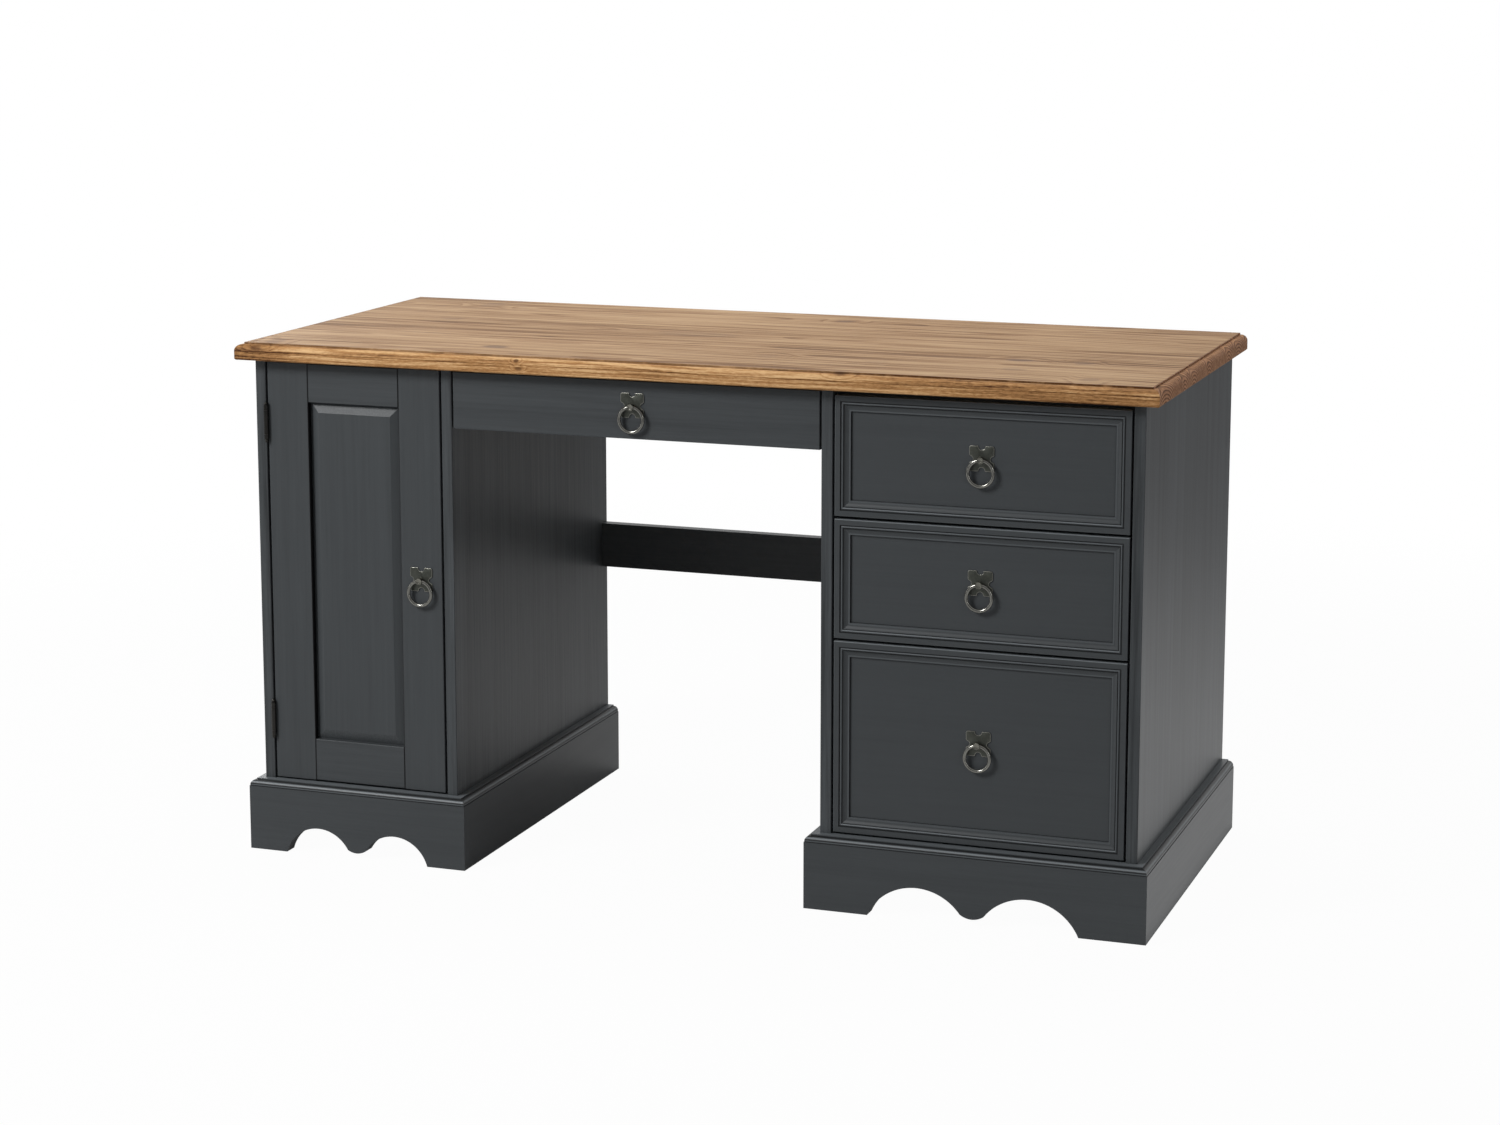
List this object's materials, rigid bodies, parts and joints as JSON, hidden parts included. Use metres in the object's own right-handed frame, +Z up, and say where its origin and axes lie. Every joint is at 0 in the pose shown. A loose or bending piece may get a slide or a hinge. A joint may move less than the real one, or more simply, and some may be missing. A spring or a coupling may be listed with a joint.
{
  "type": "computer desk",
  "caption": "Double-pedestal desk with a moulded pine top, a panelled door, ring-handled drawers, scalloped plinths and an open kneehole.",
  "frame": {"origin": "on the floor under the middle of the desk's bounding box", "axes": "+X to the sitter's right along the desk, -Y towards the sitter, +Z up"},
  "size_m": [1.36, 0.6, 0.757],
  "materials": {
    "pine_top": "knotty pine, stained honey brown, satin",
    "charcoal_paint": "brushed pine, painted charcoal, satin",
    "bare_pine": "sanded, unfinished",
    "drawer_bottom": "thin board, unfinished",
    "back_board": "thin board, painted charcoal",
    "antique_iron": "dark antique, rubbed on the edges",
    "black_steel": "blackened, satin",
    "zinc_steel": "zinc plated",
    "catch_plastic": "moulded, matt"
  },
  "bodies": {
    "cabinet": {"assembly_screws": "zinc_steel", "desk_top": "pine_top", "left_cabinet_outer_side": "charcoal_paint", "left_cabinet_inner_side": "charcoal_paint", "right_cabinet_inner_side": "charcoal_paint", "right_cabinet_outer_side": "charcoal_paint", "left_cabinet_base": "charcoal_paint", "left_cabinet_back": "back_board", "left_cabinet_top_rails": "bare_pine", "right_cabinet_base": "charcoal_paint", "right_cabinet_back": "back_board", "right_cabinet_top_rails": "bare_pine", "cabinet_shelf": "charcoal_paint", "shelf_pins": "zinc_steel", "left_plinth_front": "charcoal_paint", "left_plinth_sides": "charcoal_paint", "right_plinth_front": "charcoal_paint", "right_plinth_sides": "charcoal_paint", "plinth_back_rails": "bare_pine", "plinth_blocks": "bare_pine", "stretcher_rail": "charcoal_paint", "hinge_cabinet_leaves": "black_steel", "hinge_pins": "black_steel", "door_catch": "catch_plastic", "centre_drawer_runners": "bare_pine", "pedestal_drawer_runners": "bare_pine"},
    "door": {"door_left_stile": "charcoal_paint", "door_right_stile": "charcoal_paint", "door_top_rail": "charcoal_paint", "door_bottom_rail": "charcoal_paint", "door_panel": "charcoal_paint", "door_handle": "antique_iron", "hinge_door_leaves": "black_steel", "door_strike": "zinc_steel"},
    "centre_drawer": {"centre_drawer_front": "charcoal_paint", "centre_drawer_handle": "antique_iron", "centre_drawer_sides": "bare_pine", "centre_drawer_back": "bare_pine", "centre_drawer_bottom": "drawer_bottom"},
    "lower_drawer": {"lower_drawer_front": "charcoal_paint", "lower_drawer_handle": "antique_iron", "lower_drawer_sides": "bare_pine", "lower_drawer_back": "bare_pine", "lower_drawer_bottom": "drawer_bottom"},
    "middle_drawer": {"middle_drawer_front": "charcoal_paint", "middle_drawer_handle": "antique_iron", "middle_drawer_sides": "bare_pine", "middle_drawer_back": "bare_pine", "middle_drawer_bottom": "drawer_bottom"},
    "upper_drawer": {"upper_drawer_front": "charcoal_paint", "upper_drawer_handle": "antique_iron", "upper_drawer_sides": "bare_pine", "upper_drawer_back": "bare_pine", "upper_drawer_bottom": "drawer_bottom"},
    "door_ring": {"door_ring": "antique_iron"},
    "centre_drawer_ring": {"centre_drawer_ring": "antique_iron"},
    "lower_drawer_ring": {"lower_drawer_ring": "antique_iron"},
    "middle_drawer_ring": {"middle_drawer_ring": "antique_iron"},
    "upper_drawer_ring": {"upper_drawer_ring": "antique_iron"}
  },
  "joints": [
    {"name": "door_swing", "type": "hinge", "parent": "cabinet", "child": "door", "pos_m": [-0.6405, -0.2816, 0.4185], "axis": [0, 0, -1], "range_deg": [0, 110]},
    {"name": "centre_drawer_slide", "type": "slide", "parent": "cabinet", "child": "centre_drawer", "axis": [0, -1, 0], "range_m": [0, 0.3]},
    {"name": "lower_drawer_slide", "type": "slide", "parent": "cabinet", "child": "lower_drawer", "axis": [0, -1, 0], "range_m": [0, 0.4]},
    {"name": "middle_drawer_slide", "type": "slide", "parent": "cabinet", "child": "middle_drawer", "axis": [0, -1, 0], "range_m": [0, 0.4]},
    {"name": "upper_drawer_slide", "type": "slide", "parent": "cabinet", "child": "upper_drawer", "axis": [0, -1, 0], "range_m": [0, 0.4]},
    {"name": "door_ring_swing", "type": "hinge", "parent": "door", "child": "door_ring", "pos_m": [-0.3975, -0.2849, 0.4215], "axis": [-1, 0, 0], "range_deg": [-5, 150]},
    {"name": "centre_drawer_ring_swing", "type": "hinge", "parent": "centre_drawer", "child": "centre_drawer_ring", "pos_m": [-0.069, -0.2849, 0.692], "axis": [-1, 0, 0], "range_deg": [-5, 150]},
    {"name": "lower_drawer_ring_swing", "type": "hinge", "parent": "lower_drawer", "child": "lower_drawer_ring", "pos_m": [0.433, -0.2779, 0.25], "axis": [-1, 0, 0], "range_deg": [-5, 150]},
    {"name": "middle_drawer_ring_swing", "type": "hinge", "parent": "middle_drawer", "child": "middle_drawer_ring", "pos_m": [0.433, -0.2779, 0.4735], "axis": [-1, 0, 0], "range_deg": [-5, 150]},
    {"name": "upper_drawer_ring_swing", "type": "hinge", "parent": "upper_drawer", "child": "upper_drawer_ring", "pos_m": [0.433, -0.2779, 0.6445], "axis": [-1, 0, 0], "range_deg": [-5, 150]}
  ]
}
